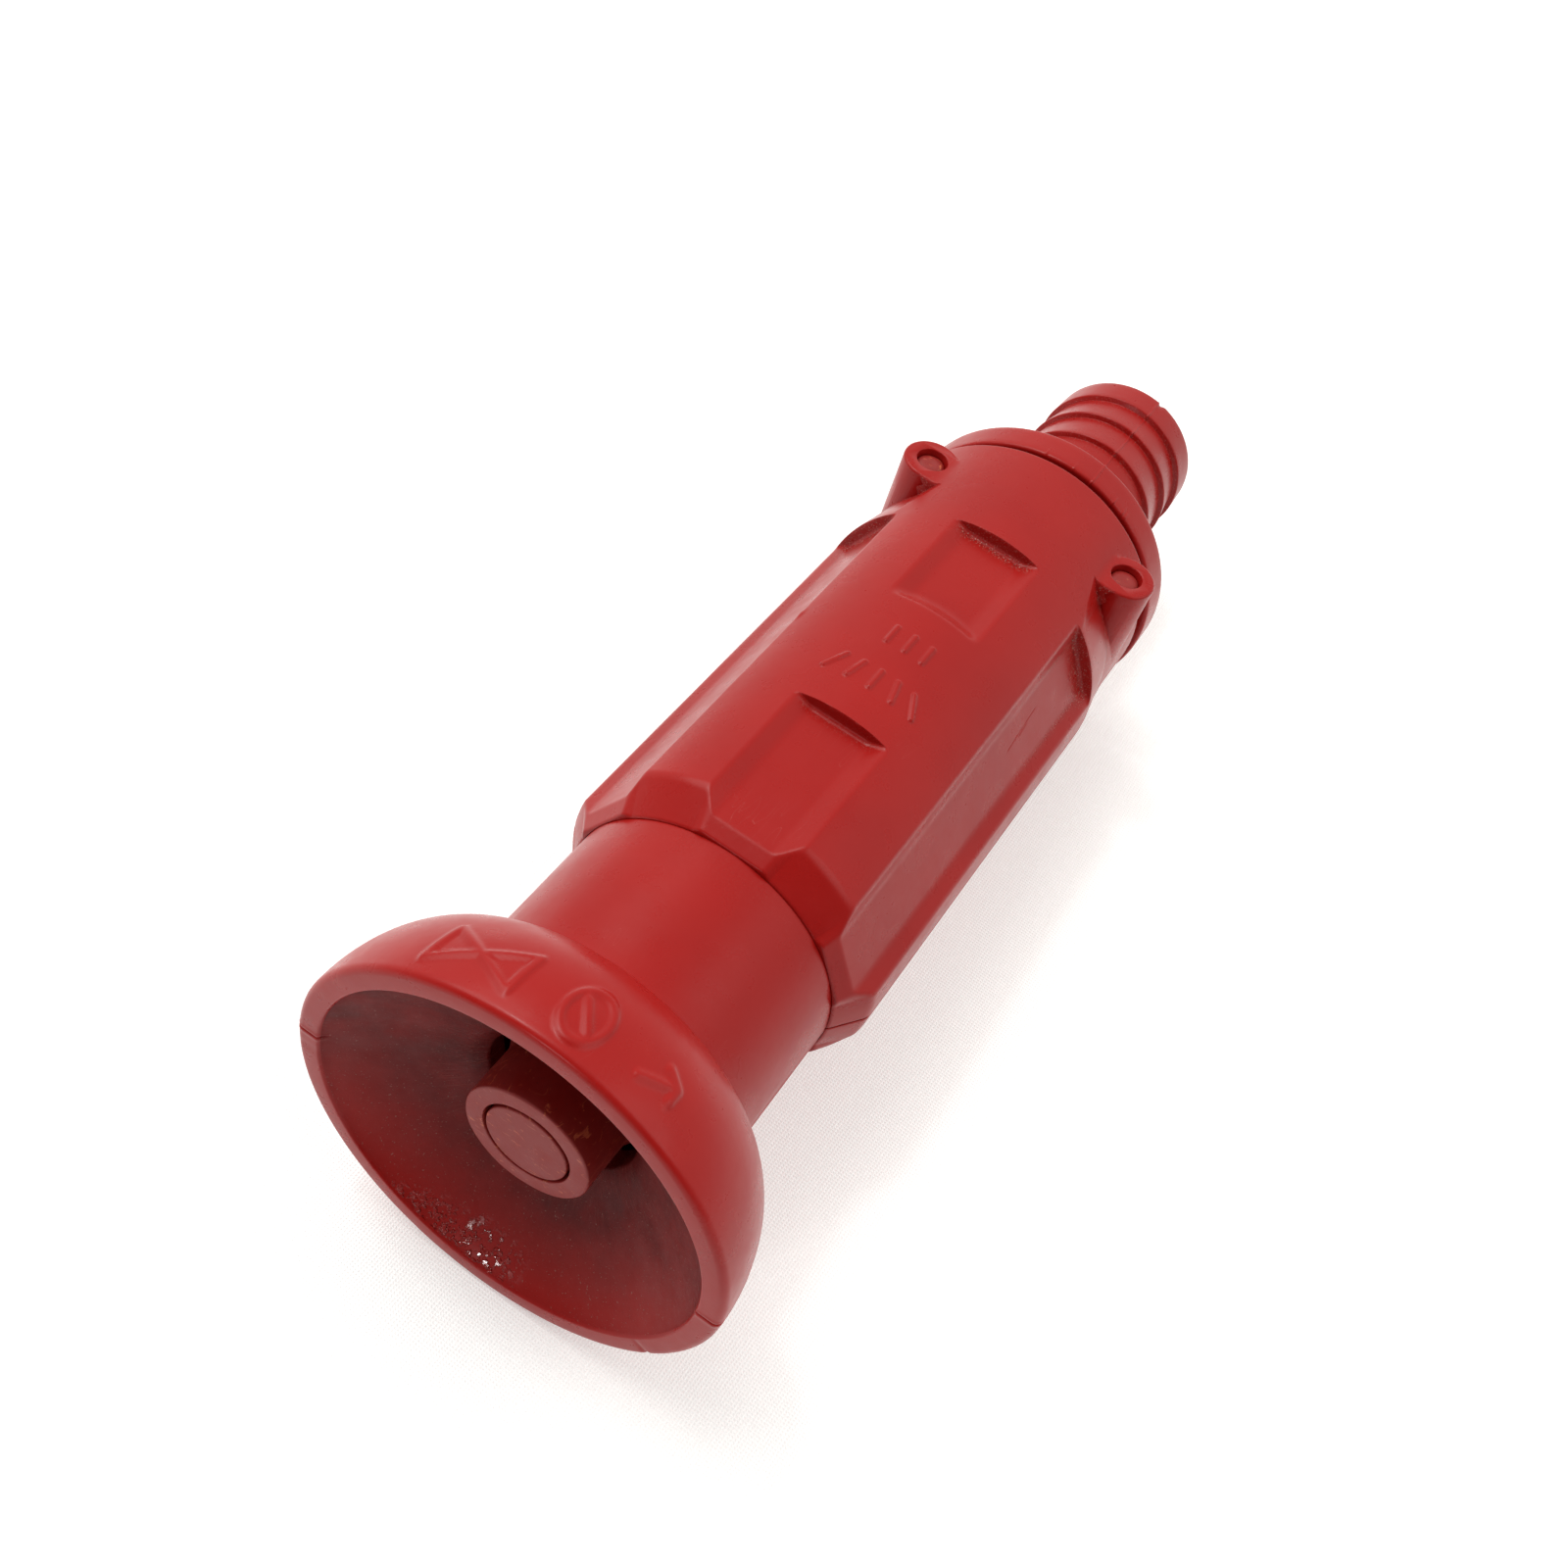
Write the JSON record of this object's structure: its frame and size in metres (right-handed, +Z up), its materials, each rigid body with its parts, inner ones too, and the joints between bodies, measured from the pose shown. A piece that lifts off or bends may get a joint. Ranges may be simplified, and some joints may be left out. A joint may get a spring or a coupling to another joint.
{
  "type": "fire hose nozzle",
  "caption": "Twist nozzle for a fire hose reel: flared bell on a sliding neck, fixed plug in its throat, fluted two-part grip with riveted bosses, and a swivelling barbed hose tail.",
  "frame": {"origin": "centre of the bounding box at its base: halfway along the nozzle, in its upright middle plane, level with the lowest point of the bell", "axes": "+X along the nozzle's axis towards the bell, +Y to the left when looking out through the bell, +Z up through the middle of the upper grip shell; the grip's parting plane is level and the nozzle lies on its side"},
  "size_m": [0.1824, 0.062, 0.0619],
  "materials": {
    "red_plastic": "satin red moulded plastic",
    "stem_plastic": "duller red moulded plastic",
    "black_rubber": "matt nitrile rubber",
    "white_acetal": "natural acetal",
    "bright_steel": "ground stainless steel"
  },
  "bodies": {
    "grip": {"upper_grip_shell": "red_plastic", "lower_grip_shell": "red_plastic", "left_rivet": "stem_plastic", "right_rivet": "stem_plastic", "water_tube": "stem_plastic", "stem_spider": "stem_plastic", "plug": "stem_plastic", "plug_cap_screw": "stem_plastic", "plug_seal": "black_rubber", "sleeve_seal": "black_rubber", "thrust_washer": "white_acetal"},
    "guide": {"guide_ring_left": "white_acetal", "guide_ring_right": "white_acetal"},
    "bell": {"bell_sleeve": "red_plastic", "cam_pin_1": "bright_steel", "cam_pin_2": "bright_steel"},
    "tail": {"hose_tail": "red_plastic", "tail_seal": "black_rubber"}
  },
  "joints": [
    {"name": "bell_travel", "type": "slide", "parent": "grip", "child": "guide", "axis": [1, 0, 0], "range_m": [-0.005, 0.009]},
    {"name": "bell_twist", "type": "hinge", "parent": "guide", "child": "bell", "pos_m": [0, 0, 0.03096], "axis": [1, 0, 0], "range_deg": [-90, 162]},
    {"name": "tail_swivel", "type": "hinge", "parent": "grip", "child": "tail", "pos_m": [0, 0, 0.03096], "axis": [1, 0, 0], "continuous": true}
  ],
  "couplings": [
    {"joint": "bell_travel", "follows": "bell_twist", "m_per_rad": 0.003183}
  ]
}
